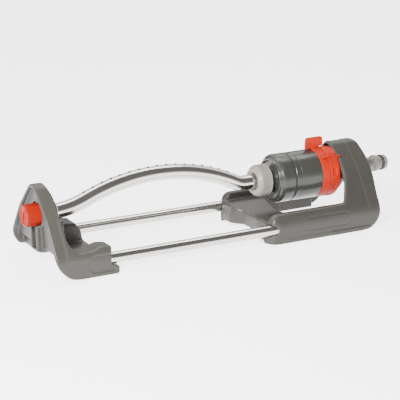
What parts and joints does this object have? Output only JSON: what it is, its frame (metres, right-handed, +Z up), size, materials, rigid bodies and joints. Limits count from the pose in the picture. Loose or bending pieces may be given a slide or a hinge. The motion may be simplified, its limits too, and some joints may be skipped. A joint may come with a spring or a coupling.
{
  "type": "oscillating lawn sprinkler",
  "caption": "Oscillating lawn sprinkler: a bent spray tube swung by a water-driven gear motor, carried on two rails between an arched end foot and a base frame with a hose nipple.",
  "frame": {"origin": "centre of the bounding box in plan, at the level of the ground the sprinkler stands on", "axes": "+X along the rails from the end foot to the hose nipple, +Y to the far side, +Z up"},
  "size_m": [0.4108, 0.1102, 0.0895],
  "materials": {
    "grey_plastic": "fine satin moulded plastic",
    "dark_plastic": "glossy dark slate plastic",
    "light_plastic": "light warm grey plastic",
    "orange_plastic": "orange-red plastic",
    "ivory_plastic": "natural acetal",
    "aluminium": "bright drawn tube",
    "steel": "stainless",
    "black_rubber": "soft black rubber"
  },
  "bodies": {
    "frame": {"end_foot": "grey_plastic", "foot_bearing": "ivory_plastic", "rail_near": "aluminium", "rail_far": "aluminium", "rail_screws": "steel", "base_frame": "grey_plastic", "motor_screws": "steel", "motor_rear_housing": "dark_plastic", "inlet_guide": "ivory_plastic", "carrier_plate": "ivory_plastic", "gear_axles": "steel", "inlet_nipple": "light_plastic", "inlet_o_ring": "black_rubber", "inlet_filter": "steel"},
    "spray_arm": {"motor_front_housing": "dark_plastic", "ring_gear": "ivory_plastic", "motor_seal": "black_rubber", "retaining_ring": "steel", "collar_nut": "light_plastic", "tube_gasket": "black_rubber", "spray_tube": "aluminium", "spray_nozzles": "black_rubber"},
    "turbine": {"turbine_wheel": "ivory_plastic"},
    "first_gear": {"gear_first": "ivory_plastic"},
    "second_gear": {"gear_second": "ivory_plastic"},
    "front_ring": {"range_ring_front": "orange_plastic"},
    "rear_ring": {"range_ring_rear": "orange_plastic"},
    "plug_core": {"plug_seal": "black_rubber", "cleaning_pin": "steel"},
    "plug_head": {"end_plug": "orange_plastic"}
  },
  "joints": [
    {"name": "tube_swing", "type": "hinge", "parent": "frame", "child": "spray_arm", "pos_m": [0, 0, 0.0518], "axis": [1, 0, 0], "range_deg": [-45, 45]},
    {"name": "turbine_spin", "type": "hinge", "parent": "frame", "child": "turbine", "pos_m": [0.105, 0, 0.0518], "axis": [1, 0, 0], "range_deg": [-1625, 1625]},
    {"name": "first_gear_spin", "type": "hinge", "parent": "frame", "child": "first_gear", "pos_m": [0.095, -0.0054, 0.06115], "axis": [1, 0, 0], "range_deg": [-545, 545]},
    {"name": "second_gear_spin", "type": "hinge", "parent": "frame", "child": "second_gear", "pos_m": [0.09, 0.0054, 0.06115], "axis": [1, 0, 0], "range_deg": [-185, 185]},
    {"name": "front_ring_set", "type": "hinge", "parent": "frame", "child": "front_ring", "pos_m": [0.117, 0, 0.0518], "axis": [1, 0, 0], "range_deg": [-45, 15]},
    {"name": "rear_ring_set", "type": "hinge", "parent": "frame", "child": "rear_ring", "pos_m": [0.126, 0, 0.0518], "axis": [1, 0, 0], "range_deg": [-15, 15]},
    {"name": "plug_out", "type": "slide", "parent": "spray_arm", "child": "plug_core", "axis": [-1, 0, 0], "range_m": [0, 0.016]},
    {"name": "plug_turn", "type": "hinge", "parent": "plug_core", "child": "plug_head", "pos_m": [-0.19, 0, 0.0518], "axis": [-1, 0, 0], "range_deg": [-1200, 1200]}
  ],
  "couplings": [
    {"joint": "turbine_spin", "follows": "tube_swing", "ratio": 36},
    {"joint": "first_gear_spin", "follows": "tube_swing", "ratio": -12},
    {"joint": "second_gear_spin", "follows": "tube_swing", "ratio": 4},
    {"joint": "plug_turn", "follows": "plug_out", "rad_per_m": -1047.2}
  ]
}
